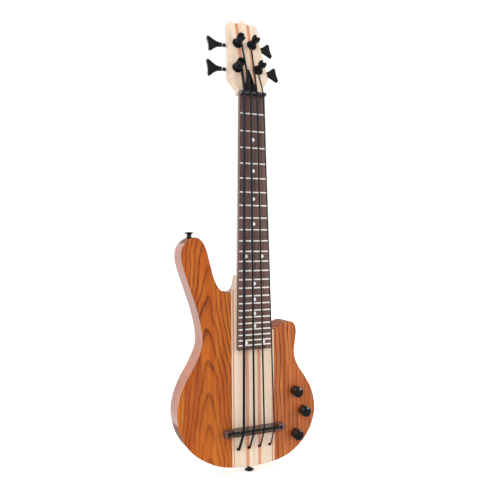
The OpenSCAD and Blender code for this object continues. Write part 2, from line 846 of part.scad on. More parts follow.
module one_knob(i) {
    p = knob_at[i];
    color(black_c)
        translate([p.x, knob_foot, p.y])
            rotate([90, 0, 0])
                difference() {
                    union() {
                        cylinder(r = knob_r, h = knob_h - 1.5);
                        translate([0, 0, knob_h - 1.5]) cylinder(r1 = knob_r, r2 = knob_r - 1.5, h = 1.5);
                    }
                    translate([0, 0, -1]) cylinder(r = pot_shaft_r, h = knob_bore_h + 1);
                    translate([0, 0, -1]) cylinder(r = 6.6, h = 4.5);
                    translate([0, 0, knob_h - 0.5]) cylinder(r1 = knob_r - 3, r2 = knob_r - 2.4, h = 0.6);
                }
}

module one_pot_shaft(i) {
    p = knob_at[i];
    color(steel_c)
        round_y(p.x, p.y, pot_shaft_r, knob_foot - knob_bore_h, cavity_y + 4);
}

module potentiometers() {
    color([0.6, 0.6, 0.58])
        for (p = knob_at)
            difference() {
                union() {
                    round_y(p.x, p.y, pot_r, cavity_y, cavity_y + 8);
                    round_y(p.x, p.y, pot_neck_r, front - 2.6, cavity_y + 1);
                    for (k = [-1:1]) translate([p.x + 4 * k - 1, cavity_y + 1, p.y + pot_r - 2])
                        cube([2, 0.8, 4]);
                }
                round_y(p.x, p.y, pot_shaft_r + running_fit, front - 3, cavity_y + 4.3);
            }
}

// Hex nuts and washers on the three potentiometers and on the output jack
module control_nuts() {
    color(black_c) {
        for (p = knob_at)
            difference() {
                union() {
                    round_y(p.x, p.y, 6.1, front - 0.5, front);
                    translate([p.x, front - 0.5, p.y]) rotate([90, 0, 0]) cylinder(r = 5.7, h = 2, $fn = 6);
                }
                round_y(p.x, p.y, pot_neck_r, front - 3, front + 1);
            }
        at_jack()
            difference() {
                union() {
                    cylinder(r = 8.4, h = 1);
                    translate([0, 0, 1]) cylinder(r = 7.2, h = 2.4, $fn = 6);
                }
                translate([0, 0, -1]) cylinder(r = jack_r, h = 6);
            }
    }
}

jack_r = 4.8;
jack_lip = 3.8;

module output_jack() {
    color(steel_c)
        at_jack()
            difference() {
                translate([0, 0, jack_lip - jack_bore_l - 3]) cylinder(r = jack_r, h = jack_bore_l + 3);
                translate([0, 0, jack_lip - jack_bore_l]) cylinder(r = jack_bore_r, h = jack_bore_l + 1);
            }
}

battery_at = [58.6, -0.8, 66];
battery_size = [26.5, 17, 46];

module battery() {
    color([0.2, 0.22, 0.3]) {
        translate(battery_at) cube(battery_size);
        for (k = [0, 1])
            translate(battery_at + [7 + 12.7 * k, battery_size.y / 2, battery_size.z])
                cylinder(r = 3.4, h = 2.5, $fn = 24);
    }
}

board_at = [87, 3, 64];
board_size = [12.5, 1.6, 34];

module preamp_board() {
    color([0.1, 0.35, 0.2]) {
        translate(board_at) cube(board_size);
        for (k = [0:2])
            translate(board_at + [3, board_size.y, 4 + 9 * k]) cube([6, 1.8, 6]);
        for (k = [0:3])
            translate(board_at + [2.5 + 2.5 * k, board_size.y, 31.5]) rotate([-90, 0, 0])
                cylinder(r = 1, h = 4, $fn = 16);
    }
}

wire_r = 0.7;
lead_top_y = front - saddle_seat_h + wire_r + 0.05;
module wiring() {
    color([0.55, 0.1, 0.1]) {
        tube(eased([[lead_start_x, lead_top_y, lead_z], [lead_x, lead_top_y, lead_z], [lead_x, lead_y, lead_z],
            [62, lead_y, lead_z], [84, -1.5, 60.5], [90, 3.8, 60.5], [90, 3.8, board_at.z]], 1.2), wire_r, 8);
        tube(eased([jack_end, jack_end + [-2.4, 0, 1.8], [71, 6.5, 62.4], [92, 6.5, 61.4],
            [95.5, 3.8, 60.8], [95.5, 3.8, board_at.z]], 1.2), wire_r, 8);
        translate(battery_at + [1, 2, battery_size.z + 2.5]) cube([24, 13, 2.5]);
        tube(eased([battery_at + [25, 8, battery_size.z + 3.7], [91, 6, 113], [93, 3.8, 109],
            [93, 3.8, board_at.z + board_size.z]], 1.2), wire_r, 8);
    }
}

jack_end = jack_seat + (jack_lip - jack_bore_l - 3) * [cos(jack_angle), 0, -sin(jack_angle)];

module control_cover() {
    color(black_c)
        difference() {
            slab(back - cover_t, back) polygon(cover_points);
            for (p = cover_screw_at) round_y(p.x, p.y, cover_pilot_r + 0.2, back - 4, back + 1);
        }
}

module cover_screws() {
    color(black_c)
        for (p = cover_screw_at)
            translate([p.x, back + 1, p.y]) rotate([-90, 0, 0]) wood_screw(1.8, 1, cover_pilot_r, 10);
}

module knob_volume() { one_knob(0); }
module knob_bass() { one_knob(1); }
module knob_treble() { one_knob(2); }
module pot_shaft_volume() { one_pot_shaft(0); }
module pot_shaft_bass() { one_pot_shaft(1); }
module pot_shaft_treble() { one_pot_shaft(2); }

// ---- Strap buttons ----

strap_h = 9.3;
strap_waist_r = 3.6;
strap_flange_r = 7.5;
strap_foot_r = 5.2;
tail_extra = 3.4;

// Spool drawn with its seat at z = 0 and its flange on top
module strap_spool(h) {
    rotate_extrude()
        polygon(concat([[2, 0], [strap_foot_r, 0], [strap_foot_r, 1]],
            [for (k = [0:8]) let(a = 90 * k / 8)
                [strap_foot_r - (strap_foot_r - strap_waist_r) * sin(a), 1 + 2.4 * (1 - cos(a))]],
            [for (k = [0:8]) let(a = 90 * k / 8)
                [strap_waist_r + (strap_flange_r - 0.4 - strap_waist_r) * (1 - cos(a)),
                    h - 4.2 + 2.6 * sin(a)]],
            [[strap_flange_r, h - 1.2], [strap_flange_r - 0.6, h - 0.4], [strap_flange_r - 2, h],
                [4.2, h], [4.2, h - 1.5], [2, h - 1.5]]));
}

module at_horn() {
    translate([horn_x, 0, horn_seat_z]) children();
}

module at_tail() {
    rotate([180, 0, 0]) children();
}

module strap_buttons() {
    color(black_c) {
        at_horn() strap_spool(strap_h);
        at_tail() strap_spool(strap_h + tail_extra);
    }
}

module strap_screws() {
    color(black_c) {
        at_horn() translate([0, 0, strap_h + 0.2]) wood_screw(4, 1.7, strap_pilot_r, 30);
        at_tail() translate([0, 0, strap_h + tail_extra + 0.2]) wood_screw(4, 1.7, strap_pilot_r, 34);
    }
}

neck_core_centre();
neck_stripes();
neck_core_bass();
neck_core_treble();
mahogany_veneers();
maple_veneers();
bass_wing();
treble_wing();
fingerboard();
frets();
position_dots();
nut();
truss_rod();
truss_rod_nut();
truss_rod_cover();
truss_cover_screws();
bridge_base();
bridge_saddle();
bridge_screws();
piezo_pickup();
string_e();
string_a();
string_d();
string_g();
wraps_e();
wraps_a();
wraps_d();
wraps_g();
string_ferrules();
tuner_housings();
tuner_bushings();
tuner_screws();
tuner_post_e();
tuner_post_a();
tuner_post_d();
tuner_post_g();
tuner_worm_e();
tuner_worm_a();
tuner_worm_d();
tuner_worm_g();
tuner_button_e();
tuner_button_a();
tuner_button_d();
tuner_button_g();
knob_volume();
knob_bass();
knob_treble();
pot_shaft_volume();
pot_shaft_bass();
pot_shaft_treble();
potentiometers();
control_nuts();
preamp_board();
battery();
wiring();
output_jack();
control_cover();
cover_screws();
strap_buttons();
strap_screws();
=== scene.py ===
"""Looks of a small solid-body electric bass: camera, light, finer meshes and procedural materials.

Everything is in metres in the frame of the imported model: +X treble side, +Y back, +Z up the neck.
"""

import json
import math

import bmesh
import bpy
from mathutils import Matrix, Vector


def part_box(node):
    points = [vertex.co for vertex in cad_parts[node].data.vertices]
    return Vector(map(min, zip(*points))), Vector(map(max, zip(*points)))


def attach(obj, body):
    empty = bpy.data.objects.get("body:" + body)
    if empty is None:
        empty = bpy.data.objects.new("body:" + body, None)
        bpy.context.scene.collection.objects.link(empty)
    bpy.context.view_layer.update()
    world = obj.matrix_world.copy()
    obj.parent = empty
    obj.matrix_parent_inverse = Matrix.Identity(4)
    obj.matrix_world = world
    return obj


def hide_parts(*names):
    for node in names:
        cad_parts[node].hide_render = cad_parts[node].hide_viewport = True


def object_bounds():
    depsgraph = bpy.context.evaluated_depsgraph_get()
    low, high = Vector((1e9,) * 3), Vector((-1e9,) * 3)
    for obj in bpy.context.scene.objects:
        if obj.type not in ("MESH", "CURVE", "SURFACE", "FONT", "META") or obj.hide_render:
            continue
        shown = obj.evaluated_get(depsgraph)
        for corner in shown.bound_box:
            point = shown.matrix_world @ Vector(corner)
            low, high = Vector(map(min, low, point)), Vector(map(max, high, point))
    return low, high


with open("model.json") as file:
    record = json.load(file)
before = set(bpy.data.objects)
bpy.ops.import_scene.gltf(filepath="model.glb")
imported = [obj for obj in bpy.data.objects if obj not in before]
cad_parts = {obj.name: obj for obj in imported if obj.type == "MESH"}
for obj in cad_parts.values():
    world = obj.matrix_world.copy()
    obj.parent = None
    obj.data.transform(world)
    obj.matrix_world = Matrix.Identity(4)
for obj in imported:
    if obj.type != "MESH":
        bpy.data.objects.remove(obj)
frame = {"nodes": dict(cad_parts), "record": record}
cad_low, cad_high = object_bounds()
NODES = frame["nodes"]
BODY_OF = {node: body for body, members in frame["record"]["behaviour"]["bodies"].items()
           for node in members}
SLOT_OF = {part["node"]: part["material_slot"] for part in frame["record"]["subparts"]}
MM = 0.001

# Measures of the design
HEAD_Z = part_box("nut")[1].z
CORE_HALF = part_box("maple_veneers")[1].x
HEAD_TILT = math.radians(15)
BODY_END_Z = 0.37
CORE_ROUND_END_Z = 0.15
LAMINATION_PLANES = (7.5 * MM, 13 * MM, 32.5 * MM, 35 * MM, CORE_HALF)


# ---- Camera ----

CAMERA_PLACE = Vector((-0.3611, -0.8267, 0.3482))
CAMERA_YAW = 22.84
CAMERA_PITCH = 0.95
CAMERA_ROLL = -0.49
CAMERA_LENS = 41.09


def add_camera():
    """Camera at the height of the horn and to the left of the instrument, as in the photograph."""
    yaw = math.radians(CAMERA_YAW)
    pitch = math.radians(CAMERA_PITCH)
    roll = math.radians(CAMERA_ROLL)
    forward = Vector((math.sin(yaw) * math.cos(pitch), math.cos(yaw) * math.cos(pitch), math.sin(pitch)))
    level = Vector((math.cos(yaw), -math.sin(yaw), 0))
    lift = level.cross(forward)
    right = level * math.cos(roll) + lift * math.sin(roll)
    up = right.cross(forward)
    camera = bpy.data.objects.new("camera", bpy.data.cameras.new("camera"))
    bpy.context.scene.collection.objects.link(camera)
    turn = Matrix((right, up, -forward)).transposed().to_4x4()
    camera.matrix_world = Matrix.Translation(CAMERA_PLACE) @ turn
    camera.data.sensor_width = 36
    camera.data.lens = CAMERA_LENS
    camera.data.clip_start = 0.01
    camera.data.clip_end = 200
    bpy.context.scene.camera = camera


add_camera()


# ---- Node trees ----

class Shading:
    """A material's node tree, written as formulas."""

    def __init__(self, name):
        self.material = bpy.data.materials.new(name)
        self.material.use_nodes = True
        self.tree = self.material.node_tree
        self.tree.nodes.clear()
        self.output = self.tree.nodes.new("ShaderNodeOutputMaterial")
        self.place = self.tree.nodes.new("ShaderNodeTexCoord").outputs["Object"]

    def feed(self, socket, value):
        if isinstance(value, bpy.types.NodeSocket):
            self.tree.links.new(value, socket)
        elif isinstance(value, (tuple, list)) and len(value) == 3 and socket.type == "RGBA":
            socket.default_value = (*value, 1)
        else:
            socket.default_value = value

    def math(self, operation, *values):
        node = self.tree.nodes.new("ShaderNodeMath")
        node.operation = operation
        for socket, value in zip(node.inputs, values):
            self.feed(socket, value)
        return node.outputs[0]

    def add(self, a, b):
        return self.math("ADD", a, b)

    def times(self, a, b):
        return self.math("MULTIPLY", a, b)

    def stretch(self, vector, scale, shift=(0, 0, 0)):
        """The place times a scale for each axis, with a shift."""
        node = self.tree.nodes.new("ShaderNodeMapping")
        self.feed(node.inputs["Vector"], vector)
        node.inputs["Scale"].default_value = scale
        node.inputs["Location"].default_value = shift
        return node.outputs[0]

    def parts(self, vector):
        node = self.tree.nodes.new("ShaderNodeSeparateXYZ")
        self.feed(node.inputs[0], vector)
        return node.outputs[0], node.outputs[1], node.outputs[2]

    def noise(self, vector, scale=1.0, detail=2.0, roughness=0.5):
        node = self.tree.nodes.new("ShaderNodeTexNoise")
        self.feed(node.inputs["Vector"], vector)
        node.inputs["Scale"].default_value = scale
        node.inputs["Detail"].default_value = detail
        node.inputs["Roughness"].default_value = roughness
        return node.outputs["Fac"]

    def ramp(self, value, *stops, smooth=False):
        """Grey or colour stops, each a place and a value."""
        node = self.tree.nodes.new("ShaderNodeValToRGB")
        self.feed(node.inputs[0], value)
        ramp = node.color_ramp
        ramp.interpolation = "EASE" if smooth else "LINEAR"
        while len(ramp.elements) < len(stops):
            ramp.elements.new(0.5)
        for element, (position, colour) in zip(ramp.elements, stops):
            element.position = position
            element.color = (*colour, 1) if isinstance(colour, tuple) else (colour, colour, colour, 1)
        return node.outputs[0]

    def mix(self, factor, a, b, blend="MIX"):
        node = self.tree.nodes.new("ShaderNodeMix")
        node.data_type = "RGBA"
        node.blend_type = blend
        self.feed(node.inputs[0], factor)
        self.feed(node.inputs[6], a)
        self.feed(node.inputs[7], b)
        return node.outputs[2]

    def bump(self, height, depth, strength=1.0):
        node = self.tree.nodes.new("ShaderNodeBump")
        node.inputs["Strength"].default_value = strength
        node.inputs["Distance"].default_value = depth
        self.feed(node.inputs["Height"], height)
        return node.outputs[0]

    def edge_wear(self, radius):
        """Grows towards 1 where the surface turns within the radius."""
        bevel = self.tree.nodes.new("ShaderNodeBevel")
        bevel.samples = 4
        bevel.inputs["Radius"].default_value = radius
        plain = self.tree.nodes.new("ShaderNodeNewGeometry")
        dot = self.tree.nodes.new("ShaderNodeVectorMath")
        dot.operation = "DOT_PRODUCT"
        self.feed(dot.inputs[0], bevel.outputs[0])
        self.feed(dot.inputs[1], plain.outputs["Normal"])
        return self.math("SUBTRACT", 1.0, dot.outputs["Value"])

    def finish(self, **values):
        """Sets the sockets of the shader by name, with spaces as underscores."""
        shader = self.tree.nodes.new("ShaderNodeBsdfPrincipled")
        for name, value in values.items():
            self.feed(shader.inputs[name.replace("_", " ")], value)
        self.tree.links.new(shader.outputs[0], self.output.inputs[0])
        return self.material


def srgb(red, green, blue):
    """Linear colour of an 8-bit display colour."""
    return tuple(((c / 255 + 0.055) / 1.055) ** 2.4 if c > 10 else c / 255 / 12.92
                 for c in (red, green, blue))


# ---- Materials ----

def growth_rings(s, centre_x, depth, width, rise, wander):
    """Ring position of a sawn board: rings round a heart behind the board, narrowing up the trunk."""
    x, y, z = s.parts(s.place)
    bend = s.math("SUBTRACT", s.noise(s.stretch(s.place, (6, 6, 9)), 1.0, 1.0), 0.5)
    sway = s.math("SUBTRACT", s.noise(s.stretch(s.place, (26, 20, 17), (3, 1, 7)), 1.0, 2.0, 0.6), 0.5)
    off = s.add(s.math("SUBTRACT", x, centre_x), s.add(s.times(bend, wander), s.times(sway, wander * 0.5)))
    radius = s.math("SQRT", s.add(s.times(off, off), s.math("POWER", s.add(y, depth), 2.0)))
    ripple = s.math("SUBTRACT", s.noise(s.stretch(s.place, (240, 200, 60)), 1.0, 3.0, 0.6), 0.5)
    return s.math("DIVIDE", s.add(s.add(radius, s.times(z, rise)), s.times(ripple, 0.0022)), width)


def ash_material(name, centre_x, depth, width, rise, wander, pale, light, deep, dark, lines):
    """Stained, lacquered ash: open-pored dark bands between paler summer wood."""
    s = Shading(name)
    rings = growth_rings(s, centre_x, depth, width, rise, wander)
    phase = s.math("FRACT", rings)
    band = s.ramp(phase, (0.0, 0.12), (0.45, 0.1), (0.7, 0.42), (0.86, 1.0), (0.95, 0.9), (1.0, 0.12))
    uneven = s.ramp(s.noise(s.stretch(s.place, (30, 30, 7), (5, 0, 2)), 1.0, 2.0, 0.6),
                    (0.34, 0.45), (0.62, 1.25))
    pores = s.noise(s.stretch(s.place, (1500, 1500, 90)), 1.0, 2.0, 0.6)
    streaks = s.noise(s.stretch(s.place, (330, 330, 9)), 1.0, 3.0, 0.6)
    fibre = s.noise(s.stretch(s.place, (90, 90, 5)), 1.0, 3.0, 0.6)
    clouds = s.noise(s.stretch(s.place, (16, 16, 7), (1, 4, 2)), 1.0, 2.0, 0.55)
    speck = s.ramp(pores, (0.5, 0.0), (0.66, 1.0))
    ink = s.times(s.times(band, uneven), s.ramp(pores, (0.3, 0.5), (0.58, 1.0)))
    ink = s.add(ink, s.add(s.times(speck, 0.1), s.times(s.math("SUBTRACT", streaks, 0.5), 0.7)))
    ink = s.math("MINIMUM", s.math("MAXIMUM", s.times(ink, lines), 0.0), 1.0)
    base = s.mix(s.ramp(fibre, (0.36, 0.0), (0.62, 1.0)), pale, light)
    base = s.mix(s.ramp(clouds, (0.42, 0.0), (0.7, 0.75), smooth=True), base, deep)
    colour = s.mix(ink, base, dark)
    relief = s.bump(s.times(ink, -1.0), 0.00004, 0.25)
    gloss = s.add(0.13, s.times(clouds, 0.06))
    return s.finish(Base_Color=colour, Roughness=gloss, Normal=relief, IOR=1.5, Coat_Weight=0.5,
                    Coat_Roughness=0.05)


def fine_wood(name, light, dark, vein, grain=(900, 900, 14), contrast=0.5, rough=0.3, coat=0.25):
    """Close-grained wood with long fine streaks along the neck."""
    s = Shading(name)
    long_streak = s.noise(s.stretch(s.place, grain), 1.0, 4.0, 0.6)
    broad = s.noise(s.stretch(s.place, (90, 90, 3)), 1.0, 2.0, 0.5)
    fleck = s.ramp(s.noise(s.stretch(s.place, (1500, 1500, 160)), 1.0, 1.0), (0.62, 0.0), (0.74, 1.0))
    tone = s.add(s.times(long_streak, contrast), s.times(broad, 1 - contrast))
    colour = s.mix(s.ramp(tone, (0.34, 0.0), (0.66, 1.0)), light, dark)
    colour = s.mix(s.times(fleck, 0.35), colour, vein)
    relief = s.bump(s.add(s.times(long_streak, 0.6), s.times(fleck, -0.4)), 0.00003, 0.2)
    return s.finish(Base_Color=colour, Roughness=s.add(rough, s.times(broad, 0.12)), Normal=relief, IOR=1.5,
                    Coat_Weight=coat, Coat_Roughness=0.12)


def black_finish(name, tint, rough, metallic=0.0, coat=0.0, wear=(0.09, 0.09, 0.1)):
    """Black plastic or plating with faint handling marks and slightly paler edges."""
    s = Shading(name)
    smear = s.noise(s.stretch(s.place, (160, 160, 160)), 1.0, 4.0, 0.6)
    grit = s.noise(s.stretch(s.place, (2600, 2600, 2600)), 1.0, 2.0, 0.5)
    edge = s.math("MINIMUM", s.times(s.edge_wear(0.0005), 1.6), 1.0)
    colour = s.mix(s.times(edge, 0.6), tint, wear)
    colour = s.mix(s.times(smear, 0.25), colour, tuple(c * 1.9 for c in tint))
    return s.finish(Base_Color=colour, Roughness=s.add(rough, s.times(smear, 0.14)), Metallic=metallic,
                    Normal=s.bump(grit, 0.000006, 0.3), IOR=1.5, Specular_IOR_Level=0.35, Coat_Weight=coat,
                    Coat_Roughness=0.08)


def metal_finish(name, tint, rough, scratch=(60, 2400, 2400), metallic=1.0):
    """Bright metal with directional polishing marks."""
    s = Shading(name)
    marks = s.noise(s.stretch(s.place, scratch), 1.0, 3.0, 0.6)
    dull = s.noise(s.stretch(s.place, (120, 120, 120)), 1.0, 3.0, 0.5)
    colour = s.mix(s.times(dull, 0.45), tint, tuple(c * 0.72 for c in tint))
    return s.finish(Base_Color=colour, Metallic=metallic, Roughness=s.add(rough, s.times(marks, 0.16)),
                    Normal=s.bump(marks, 0.000004, 0.25))


def pearl_material():
    s = Shading("pearl")
    flow = s.noise(s.stretch(s.place, (420, 420, 260)), 1.0, 4.0, 0.65)
    colour = s.ramp(flow, (0.3, srgb(214, 222, 224)), (0.5, srgb(246, 244, 238)),
                    (0.7, srgb(226, 218, 222)))
    return s.finish(Base_Color=colour, Roughness=s.add(0.12, s.times(flow, 0.1)), Coat_Weight=0.5,
                    Coat_Roughness=0.05)


def string_material():
    """Smooth black tape winding, its turns a fraction of a millimetre wide."""
    s = Shading("string")
    x, y, z = s.parts(s.place)
    turn = s.math("SINE", s.times(s.add(z, s.times(x, 0.3)), 2 * math.pi / 0.0007))
    wipe = s.noise(s.stretch(s.place, (300, 300, 40)), 1.0, 3.0, 0.5)
    colour = s.mix(wipe, srgb(11, 14, 22), srgb(24, 29, 42))
    return s.finish(Base_Color=colour, Roughness=s.add(0.3, s.times(wipe, 0.16)),
                    Normal=s.bump(turn, 0.00002, 0.35), IOR=1.5, Specular_IOR_Level=0.3)


def moulded(name, tint, rough):
    """Plain moulded or printed part, with faint mottling."""
    s = Shading(name)
    mottle = s.noise(s.stretch(s.place, (240, 240, 240)), 1.0, 4.0, 0.6)
    colour = s.mix(mottle, tint, tuple(c * 0.7 for c in tint))
    return s.finish(Base_Color=colour, Roughness=s.add(rough, s.times(mottle, 0.1)),
                    Normal=s.bump(mottle, 0.00002, 0.3))


ash_bass = ash_material("stained_ash_bass", -0.076, 0.034, 0.0062, 0.125, 0.02, srgb(188, 104, 26),
                        srgb(168, 78, 14), srgb(138, 59, 11), srgb(90, 31, 8), 0.9)
ash_treble = ash_material("stained_ash_treble", -0.12, 0.03, 0.0075, 0.014, 0.012, srgb(190, 112, 58),
                          srgb(168, 87, 38), srgb(146, 68, 28), srgb(92, 32, 13), 0.9)
MATERIALS = {
    "maple": fine_wood("maple", srgb(226, 205, 183), srgb(196, 172, 149), srgb(170, 142, 116)),
    "mahogany": fine_wood("mahogany", srgb(208, 146, 114), srgb(180, 116, 88), srgb(120, 66, 46)),
    "stained_ash": ash_bass,
    "rosewood": fine_wood("rosewood", srgb(118, 84, 74), srgb(58, 36, 34), srgb(26, 15, 16),
                          grain=(520, 520, 14), contrast=0.75, rough=0.36, coat=0.1),
    "fret_wire": metal_finish("fret_wire", srgb(250, 246, 236), 0.2, metallic=0.2),
    "pearl": pearl_material(),
    "black_gloss": black_finish("black_gloss", srgb(10, 10, 12), 0.1, coat=0.6),
    "black_hardware": black_finish("black_hardware", srgb(13, 13, 16), 0.22, coat=0.15),
    "steel": metal_finish("steel", srgb(214, 214, 214), 0.18),
    "potentiometer": metal_finish("potentiometer", srgb(186, 184, 178), 0.3),
    "string": string_material(),
    "piezo_film": metal_finish("piezo_film", srgb(206, 170, 96), 0.3),
    "circuit_board": moulded("circuit_board", srgb(26, 92, 52), 0.45),
    "battery_case": moulded("battery_case", srgb(46, 50, 66), 0.35),
    "wire": moulded("wire", srgb(150, 26, 26), 0.5),
}


# ---- Meshes ----

def clean_mesh(node):
    """The CAD node's shape with its seams joined and its flat faces whole."""
    bm = bmesh.new()
    bm.from_mesh(NODES[node].data)
    bmesh.ops.remove_doubles(bm, verts=bm.verts, dist=2e-6)
    bmesh.ops.dissolve_limit(bm, angle_limit=math.radians(0.4), verts=bm.verts, edges=bm.edges)
    bm.normal_update()
    return bm


def put(bm, name, body, material, slot, replaced=(), sharp=32):
    """Makes the mesh a piece of the model that rides on a body."""
    mesh = bpy.data.meshes.new(name)
    bm.to_mesh(mesh)
    bm.free()
    mesh.polygons.foreach_set("use_smooth", [True] * len(mesh.polygons))
    mesh.set_sharp_from_angle(angle=math.radians(sharp))
    piece = bpy.data.objects.new(name, mesh)
    bpy.context.scene.collection.objects.link(piece)
    mesh.materials.append(material)
    even = piece.modifiers.new("even_normals", "WEIGHTED_NORMAL")
    even.keep_sharp = True
    even.weight = 80
    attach(piece, body)
    if replaced:
        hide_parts(*replaced)
    return piece


def round_edges(bm, edges, radius, segments=3):
    if edges and radius > 0:
        bmesh.ops.bevel(bm, geom=list(edges), offset=radius, offset_type="OFFSET", segments=segments,
                        profile=0.5, affect="EDGES", clamp_overlap=True)


def sharp_edges(bm, angle=40):
    """Outward edges that turn by more than the angle."""
    limit = math.radians(angle)
    return [e for e in bm.edges if len(e.link_faces) == 2 and e.is_convex and e.calc_face_angle(0) > limit]


def refine(node, radius):
    """Replaces a CAD node by the same shape with slightly rounded edges."""
    bm = clean_mesh(node)
    round_edges(bm, sharp_edges(bm), radius, 2)
    return put(bm, node + "_look", BODY_OF[node], MATERIALS[SLOT_OF[node]], SLOT_OF[node], (node,))


# ---- Body and neck ----

FERRULE_R = 4.2 * MM
HOLE_MARGIN = 7 * MM
FERRULES_LOW, FERRULES_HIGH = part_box("string_ferrules")
STRING_HOLE_Z = (FERRULES_LOW.z + FERRULES_HIGH.z) / 2
HOLE_PITCH = (FERRULES_HIGH.x - FERRULES_LOW.x - 2 * FERRULE_R) / 3
HOLE_XS = [FERRULES_LOW.x + FERRULE_R + i * HOLE_PITCH for i in range(4)]


def on_lamination_plane(face):
    return abs(face.normal.x) > 0.999 and any(
        abs(abs(face.calc_center_median().x) - plane) < 0.05 * MM for plane in LAMINATION_PLANES)


def by_string_hole(edge):
    middle = (edge.verts[0].co + edge.verts[1].co) / 2
    return any(math.hypot(middle.x - x, middle.z - STRING_HOLE_Z) < HOLE_MARGIN for x in HOLE_XS)


def chains(edges):
    """Groups the edges into connected chains."""
    left = set(edges)
    while left:
        first = left.pop()
        chain = {first}
        front = [first]
        while front:
            edge = front.pop()
            for vert in edge.verts:
                for other in vert.link_edges:
                    if other in left:
                        left.discard(other)
                        chain.add(other)
                        front.append(other)
        yield chain


def is_open(chain):
    counts = {}
    for edge in chain:
        for vert in edge.verts:
            counts[vert] = counts.get(vert, 0) + 1
    return any(count == 1 for count in counts.values())


def contour_edges(bm):
    """Edges round the front and back of the body, without its holes and lamination joints."""
    found = []
    for edge in bm.edges:
        if len(edge.link_faces) != 2 or by_string_hole(edge):
            continue
        flat, wall = sorted(edge.link_faces, key=lambda f: -abs(f.normal.y))
        if abs(flat.normal.y) > 0.5 and abs(wall.normal.y) < 0.02 and not on_lamination_plane(wall):
            if edge.verts[0].co.z < BODY_END_Z:
                found.append(edge)
    return [edge for chain in chains(found) if is_open(chain) for edge in chain]


def head_edges(bm):
    """Edges round the front and back of the headstock."""
    out = Vector((0, -math.cos(HEAD_TILT), math.sin(HEAD_TILT)))
    found = []
    for edge in bm.edges:
        if len(edge.link_faces) != 2 or min(v.co.z for v in edge.verts) < HEAD_Z + 1 * MM:
            continue
        flat, wall = sorted(edge.link_faces, key=lambda f: -abs(f.normal.dot(out)))
        square = abs(flat.normal.dot(out)) > 0.99 and abs(wall.normal.dot(out)) < 0.02
        if square and not on_lamination_plane(wall):
            found.append(edge)
    return [edge for chain in chains(found) if is_open(chain) for edge in chain]


EDGE_ROUND = 3.3 * MM
HEAD_ROUND = 1.2 * MM


def wood(node, material, slot, head=False, limit_z=0.4):
    bm = clean_mesh(node)
    edges = [e for e in contour_edges(bm) if max(v.co.z for v in e.verts) < limit_z]
    round_edges(bm, edges, EDGE_ROUND, 4)
    if head:
        bm.normal_update()
        round_edges(bm, head_edges(bm), HEAD_ROUND, 3)
    return put(bm, node + "_look", BODY_OF[node], material, slot, (node,), 30)


wood("bass_wing", ash_bass, "stained_ash")
wood("treble_wing", ash_treble, "stained_ash")
wood("maple_veneers", MATERIALS["maple"], "maple")
wood("mahogany_veneers", MATERIALS["mahogany"], "mahogany")
wood("neck_core_centre", MATERIALS["maple"], "maple", head=True, limit_z=CORE_ROUND_END_Z)
wood("neck_stripes", MATERIALS["mahogany"], "mahogany", head=True, limit_z=CORE_ROUND_END_Z)
wood("neck_core_bass", MATERIALS["maple"], "maple", head=True, limit_z=CORE_ROUND_END_Z)
wood("neck_core_treble", MATERIALS["maple"], "maple", head=True, limit_z=CORE_ROUND_END_Z)


# ---- Other CAD nodes, refined ----

for refined, edge_radius in {
    "fingerboard": 0.4, "frets": 0.15, "position_dots": 0.1, "nut": 0.5, "bridge_base": 0.6,
    "bridge_screws": 0.2, "truss_rod_cover": 0.4, "truss_cover_screws": 0.2,
    "truss_rod_nut": 0.2, "tuner_housings": 0.5, "tuner_bushings": 0.3, "tuner_screws": 0.2,
    "tuner_post_e": 0.2, "tuner_post_a": 0.2, "tuner_post_d": 0.2, "tuner_post_g": 0.2,
    "tuner_worm_e": 0.15, "tuner_worm_a": 0.15, "tuner_worm_d": 0.15, "tuner_worm_g": 0.15,
    "tuner_button_e": 0.9, "tuner_button_a": 0.9, "tuner_button_d": 0.9, "tuner_button_g": 0.9,
    "control_nuts": 0.2,
    "string_ferrules": 0.3, "output_jack": 0.3, "control_cover": 0.4, "cover_screws": 0.15,
    "strap_buttons": 0.3, "strap_screws": 0.2,
    "string_e": 0, "string_a": 0, "string_d": 0, "string_g": 0,
    "wraps_e": 0, "wraps_a": 0, "wraps_d": 0, "wraps_g": 0,
}.items():
    refine(refined, edge_radius * MM)

# ---- Knobs and saddle, made anew ----

def lathe(profile, centre, segments=72):
    """Closed turned shape about a line along Y, from pairs of radius and height in front of the centre."""
    bm = bmesh.new()
    rings = []
    for radius, height in profile:
        if radius == 0:
            rings.append([bm.verts.new((centre.x, centre.y - height, centre.z))])
            continue
        turns = [2 * math.pi * k / segments for k in range(segments)]
        rings.append([bm.verts.new((centre.x + radius * math.cos(a), centre.y - height,
                                    centre.z + radius * math.sin(a))) for a in turns])
    for lower, upper in zip(rings, rings[1:]):
        for k in range(segments):
            j = (k + 1) % segments
            corners = [lower[k % len(lower)], lower[j % len(lower)],
                       upper[j % len(upper)], upper[k % len(upper)]]
            bm.faces.new(list(dict.fromkeys(corners)))
    bmesh.ops.recalc_face_normals(bm, faces=bm.faces)
    return bm


def arc(centre_r, centre_h, radius, start, stop, steps=6):
    """Points of a quarter or part circle in the profile of a turned shape, angles in degrees."""
    found = []
    for k in range(steps + 1):
        a = math.radians(start + (stop - start) * k / steps)
        found.append((centre_r + radius * math.cos(a), centre_h + radius * math.sin(a)))
    return found


